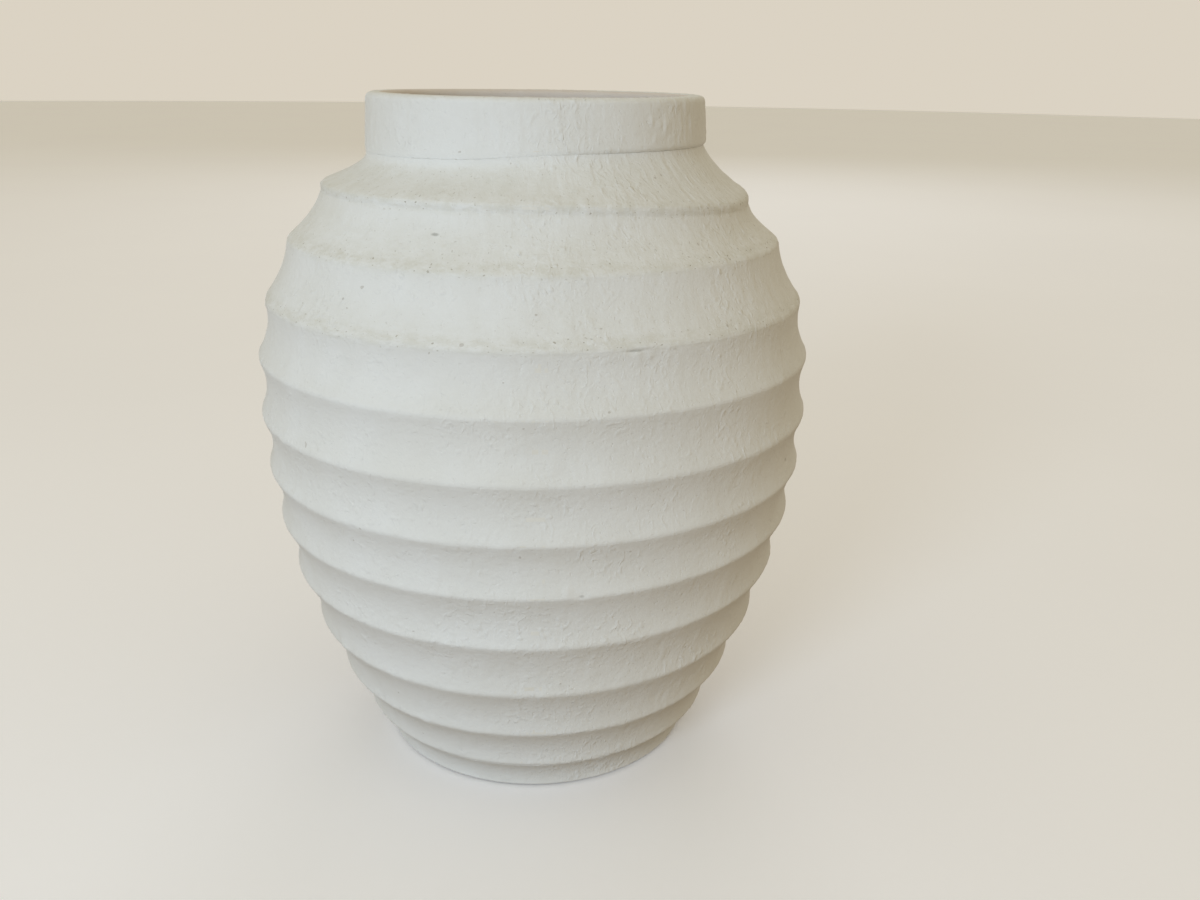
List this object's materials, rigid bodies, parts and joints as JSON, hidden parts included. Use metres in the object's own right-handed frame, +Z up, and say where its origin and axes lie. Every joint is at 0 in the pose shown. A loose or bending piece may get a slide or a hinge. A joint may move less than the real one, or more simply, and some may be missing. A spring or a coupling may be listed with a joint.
{
  "type": "plaster mold",
  "caption": "Egg-shaped ribbed slip-casting mold: keyed plaster shells close on a foot plug round a vase-shaped cavity, under a plain pour collar.",
  "frame": {"origin": "centre of the flat resting face under the foot plug", "axes": "+Z up along the turning axis; -Y is the front; the shells part on the plane Y = 0"},
  "size_m": [0.248, 0.2484, 0.3],
  "materials": {
    "plaster": "dry matte gypsum plaster with brush marks and dust",
    "natch_nylon": "satin moulded nylon"
  },
  "bodies": {
    "foot": {"foot_plug": "plaster"},
    "front_shell": {"front_half": "plaster", "natch_cup_left_high": "natch_nylon", "natch_cup_left_middle": "natch_nylon", "natch_cup_left_low": "natch_nylon", "natch_cup_right_high": "natch_nylon", "natch_cup_right_middle": "natch_nylon", "natch_cup_right_low": "natch_nylon"},
    "rear_shell": {"rear_half": "plaster", "natch_pin_left_high": "natch_nylon", "natch_pin_left_middle": "natch_nylon", "natch_pin_left_low": "natch_nylon", "natch_pin_right_high": "natch_nylon", "natch_pin_right_middle": "natch_nylon", "natch_pin_right_low": "natch_nylon"},
    "collar": {"pour_collar": "plaster"}
  },
  "joints": [
    {"name": "front_pull", "type": "slide", "parent": "foot", "child": "front_shell", "axis": [0, -1, 0], "range_m": [0, 0.15]},
    {"name": "rear_pull", "type": "slide", "parent": "foot", "child": "rear_shell", "axis": [0, 1, 0], "range_m": [0, 0.15]},
    {"name": "collar_lift", "type": "slide", "parent": "foot", "child": "collar", "axis": [0, 0, 1], "range_m": [0, 0.1]}
  ]
}
